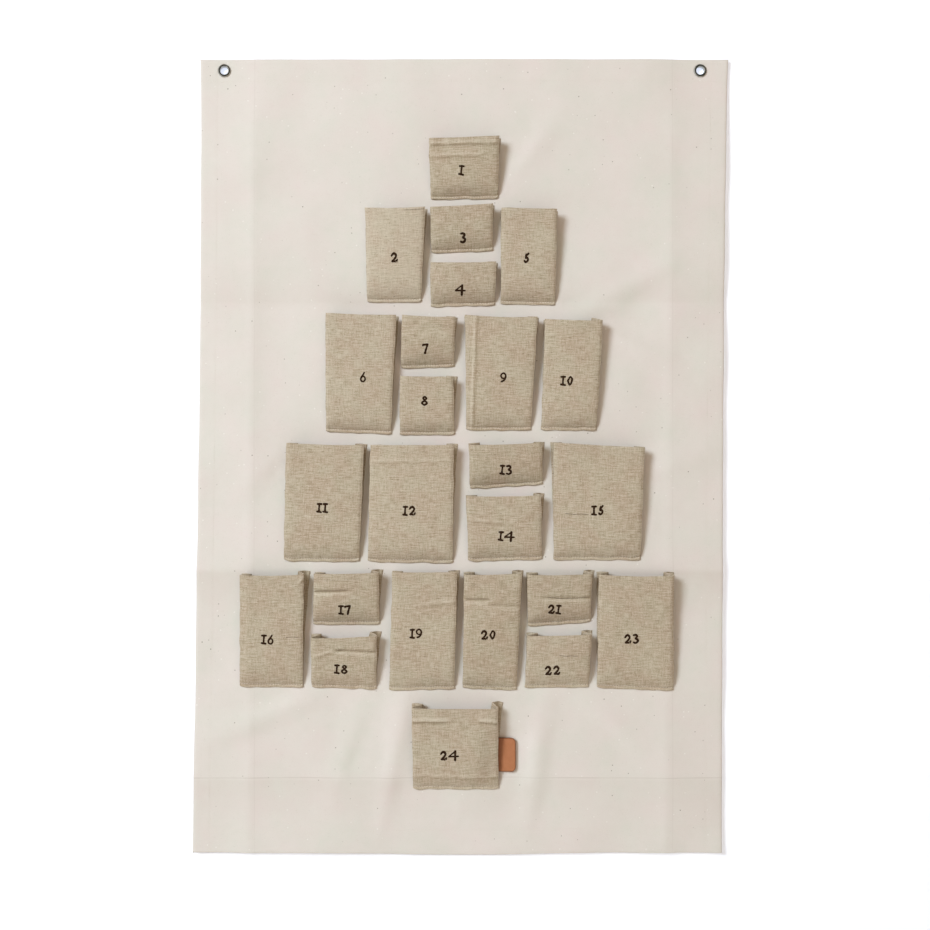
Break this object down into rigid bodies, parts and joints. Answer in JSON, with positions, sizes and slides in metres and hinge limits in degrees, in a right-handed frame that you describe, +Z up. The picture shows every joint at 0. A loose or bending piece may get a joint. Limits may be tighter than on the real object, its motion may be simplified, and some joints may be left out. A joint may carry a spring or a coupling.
{
  "type": "advent calendar",
  "caption": "Cotton canvas wall hanging with numbered linen bellows pockets sewn in a tree shape, nickel hanging eyelets and a small leather side tab.",
  "frame": {"origin": "midway between the axes of the two hanging eyelets, on the plane of the panel's turned hems, which is its back", "axes": "+X to the right as seen from the front, +Z up, and -Y out of the front, where the pockets are"},
  "size_m": [0.6082, 0.0217, 0.9026],
  "materials": {
    "canvas": "unbleached cotton canvas, plain weave, with small dark flecks",
    "linen": "natural linen, slubby plain weave",
    "nickel": "polished nickel plate",
    "leather": "tan vegetable-tanned hide, lightly waxed"
  },
  "bodies": {
    "panel": {"canvas_panel": "canvas", "eyelet_left": "nickel", "eyelet_right": "nickel", "washer_left": "nickel", "washer_right": "nickel", "pocket_01_gusset": "linen", "pocket_02_gusset": "linen", "pocket_03_gusset": "linen", "pocket_04_gusset": "linen", "pocket_05_gusset": "linen", "pocket_06_gusset": "linen", "pocket_07_gusset": "linen", "pocket_08_gusset": "linen", "pocket_09_gusset": "linen", "pocket_10_gusset": "linen", "pocket_11_gusset": "linen", "pocket_12_gusset": "linen", "pocket_13_gusset": "linen", "pocket_14_gusset": "linen", "pocket_15_gusset": "linen", "pocket_16_gusset": "linen", "pocket_17_gusset": "linen", "pocket_18_gusset": "linen", "pocket_19_gusset": "linen", "pocket_20_gusset": "linen", "pocket_21_gusset": "linen", "pocket_22_gusset": "linen", "pocket_23_gusset": "linen", "pocket_24_gusset": "linen"},
    "pocket_01": {"pocket_01_front": "linen"},
    "pocket_02": {"pocket_02_front": "linen"},
    "pocket_03": {"pocket_03_front": "linen"},
    "pocket_04": {"pocket_04_front": "linen"},
    "pocket_05": {"pocket_05_front": "linen"},
    "pocket_06": {"pocket_06_front": "linen"},
    "pocket_07": {"pocket_07_front": "linen"},
    "pocket_08": {"pocket_08_front": "linen"},
    "pocket_09": {"pocket_09_front": "linen"},
    "pocket_10": {"pocket_10_front": "linen"},
    "pocket_11": {"pocket_11_front": "linen"},
    "pocket_12": {"pocket_12_front": "linen"},
    "pocket_13": {"pocket_13_front": "linen"},
    "pocket_14": {"pocket_14_front": "linen"},
    "pocket_15": {"pocket_15_front": "linen"},
    "pocket_16": {"pocket_16_front": "linen"},
    "pocket_17": {"pocket_17_front": "linen"},
    "pocket_18": {"pocket_18_front": "linen"},
    "pocket_19": {"pocket_19_front": "linen"},
    "pocket_20": {"pocket_20_front": "linen"},
    "pocket_21": {"pocket_21_front": "linen"},
    "pocket_22": {"pocket_22_front": "linen"},
    "pocket_23": {"pocket_23_front": "linen"},
    "pocket_24": {"pocket_24_front": "linen"},
    "tab": {"leather_tab": "leather"}
  },
  "joints": [
    {"name": "pocket_01_mouth", "type": "hinge", "parent": "panel", "child": "pocket_01", "pos_m": [0.00259, -0.0036, -0.1436], "axis": [1, 0, 0], "range_deg": [-12, 12], "stiffness_Nm_per_rad": 0.012, "deforming": ["pocket_01_gusset"]},
    {"name": "pocket_02_mouth", "type": "hinge", "parent": "panel", "child": "pocket_02", "pos_m": [-0.07712, -0.0036, -0.25998], "axis": [1, 0, 0], "range_deg": [-7.4, 7.2], "stiffness_Nm_per_rad": 0.012, "deforming": ["pocket_02_gusset"]},
    {"name": "pocket_03_mouth", "type": "hinge", "parent": "panel", "child": "pocket_03", "pos_m": [0.00065, -0.0036, -0.20347], "axis": [1, 0, 0], "range_deg": [-16.4, 17.2], "stiffness_Nm_per_rad": 0.012, "deforming": ["pocket_03_gusset"]},
    {"name": "pocket_04_mouth", "type": "hinge", "parent": "panel", "child": "pocket_04", "pos_m": [0.00009, -0.0036, -0.26447], "axis": [1, 0, 0], "range_deg": [-16.4, 17.2], "stiffness_Nm_per_rad": 0.012, "deforming": ["pocket_04_gusset"]},
    {"name": "pocket_05_mouth", "type": "hinge", "parent": "panel", "child": "pocket_05", "pos_m": [0.07436, -0.0036, -0.2626], "axis": [1, 0, 0], "range_deg": [-7.4, 7.2], "stiffness_Nm_per_rad": 0.012, "deforming": ["pocket_05_gusset"]},
    {"name": "pocket_06_mouth", "type": "hinge", "parent": "panel", "child": "pocket_06", "pos_m": [-0.11697, -0.0036, -0.4081], "axis": [1, 0, 0], "range_deg": [-5.8, 5.5], "stiffness_Nm_per_rad": 0.012, "deforming": ["pocket_06_gusset"]},
    {"name": "pocket_07_mouth", "type": "hinge", "parent": "panel", "child": "pocket_07", "pos_m": [-0.0388, -0.0036, -0.33435], "axis": [1, 0, 0], "range_deg": [-13.8, 14], "stiffness_Nm_per_rad": 0.012, "deforming": ["pocket_07_gusset"]},
    {"name": "pocket_08_mouth", "type": "hinge", "parent": "panel", "child": "pocket_08", "pos_m": [-0.03949, -0.0036, -0.41023], "axis": [1, 0, 0], "range_deg": [-12, 12], "stiffness_Nm_per_rad": 0.012, "deforming": ["pocket_08_gusset"]},
    {"name": "pocket_09_mouth", "type": "hinge", "parent": "panel", "child": "pocket_09", "pos_m": [0.04176, -0.0036, -0.40523], "axis": [1, 0, 0], "range_deg": [-5.8, 5.5], "stiffness_Nm_per_rad": 0.012, "deforming": ["pocket_09_gusset"]},
    {"name": "pocket_10_mouth", "type": "hinge", "parent": "panel", "child": "pocket_10", "pos_m": [0.12036, -0.0036, -0.40523], "axis": [1, 0, 0], "range_deg": [-6.2, 6], "stiffness_Nm_per_rad": 0.012, "deforming": ["pocket_10_gusset"]},
    {"name": "pocket_11_mouth", "type": "hinge", "parent": "panel", "child": "pocket_11", "pos_m": [-0.15849, -0.0036, -0.55323], "axis": [1, 0, 0], "range_deg": [-5.8, 5.5], "stiffness_Nm_per_rad": 0.012, "deforming": ["pocket_11_gusset"]},
    {"name": "pocket_12_mouth", "type": "hinge", "parent": "panel", "child": "pocket_12", "pos_m": [-0.0581, -0.0036, -0.5546], "axis": [1, 0, 0], "range_deg": [-5.8, 5.5], "stiffness_Nm_per_rad": 0.012, "deforming": ["pocket_12_gusset"]},
    {"name": "pocket_13_mouth", "type": "hinge", "parent": "panel", "child": "pocket_13", "pos_m": [0.05018, -0.0036, -0.46897], "axis": [1, 0, 0], "range_deg": [-16.4, 17.2], "stiffness_Nm_per_rad": 0.012, "deforming": ["pocket_13_gusset"]},
    {"name": "pocket_14_mouth", "type": "hinge", "parent": "panel", "child": "pocket_14", "pos_m": [0.04942, -0.0036, -0.5521], "axis": [1, 0, 0], "range_deg": [-10.5, 10.4], "stiffness_Nm_per_rad": 0.012, "deforming": ["pocket_14_gusset"]},
    {"name": "pocket_15_mouth", "type": "hinge", "parent": "panel", "child": "pocket_15", "pos_m": [0.15242, -0.0036, -0.5516], "axis": [1, 0, 0], "range_deg": [-5.8, 5.5], "stiffness_Nm_per_rad": 0.012, "deforming": ["pocket_15_gusset"]},
    {"name": "pocket_16_mouth", "type": "hinge", "parent": "panel", "child": "pocket_16", "pos_m": [-0.21434, -0.0036, -0.69573], "axis": [1, 0, 0], "range_deg": [-5.8, 5.5], "stiffness_Nm_per_rad": 0.012, "deforming": ["pocket_16_gusset"]},
    {"name": "pocket_17_mouth", "type": "hinge", "parent": "panel", "child": "pocket_17", "pos_m": [-0.13104, -0.0036, -0.62498], "axis": [1, 0, 0], "range_deg": [-12.5, 12.5], "stiffness_Nm_per_rad": 0.012, "deforming": ["pocket_17_gusset"]},
    {"name": "pocket_18_mouth", "type": "hinge", "parent": "panel", "child": "pocket_18", "pos_m": [-0.1317, -0.0036, -0.69735], "axis": [1, 0, 0], "range_deg": [-12.5, 12.5], "stiffness_Nm_per_rad": 0.012, "deforming": ["pocket_18_gusset"]},
    {"name": "pocket_19_mouth", "type": "hinge", "parent": "panel", "child": "pocket_19", "pos_m": [-0.04552, -0.0036, -0.6986], "axis": [1, 0, 0], "range_deg": [-5.8, 5.5], "stiffness_Nm_per_rad": 0.012, "deforming": ["pocket_19_gusset"]},
    {"name": "pocket_20_mouth", "type": "hinge", "parent": "panel", "child": "pocket_20", "pos_m": [0.03139, -0.0036, -0.6981], "axis": [1, 0, 0], "range_deg": [-5.8, 5.5], "stiffness_Nm_per_rad": 0.012, "deforming": ["pocket_20_gusset"]},
    {"name": "pocket_21_mouth", "type": "hinge", "parent": "panel", "child": "pocket_21", "pos_m": [0.10901, -0.0036, -0.62435], "axis": [1, 0, 0], "range_deg": [-12.5, 12.5], "stiffness_Nm_per_rad": 0.012, "deforming": ["pocket_21_gusset"]},
    {"name": "pocket_22_mouth", "type": "hinge", "parent": "panel", "child": "pocket_22", "pos_m": [0.10836, -0.0036, -0.69635], "axis": [1, 0, 0], "range_deg": [-12.5, 12.5], "stiffness_Nm_per_rad": 0.012, "deforming": ["pocket_22_gusset"]},
    {"name": "pocket_23_mouth", "type": "hinge", "parent": "panel", "child": "pocket_23", "pos_m": [0.19504, -0.0036, -0.6981], "axis": [1, 0, 0], "range_deg": [-5.8, 5.5], "stiffness_Nm_per_rad": 0.012, "deforming": ["pocket_23_gusset"]},
    {"name": "pocket_24_mouth", "type": "hinge", "parent": "panel", "child": "pocket_24", "pos_m": [-0.00739, -0.0036, -0.81135], "axis": [1, 0, 0], "range_deg": [-7.9, 7.7], "stiffness_Nm_per_rad": 0.012, "deforming": ["pocket_24_gusset"]},
    {"name": "tab_lift", "type": "hinge", "parent": "panel", "child": "tab", "pos_m": [0.03778, -0.0029, -0.77625], "axis": [0, 0, -1], "range_deg": [0, 30], "stiffness_Nm_per_rad": 0.004}
  ]
}
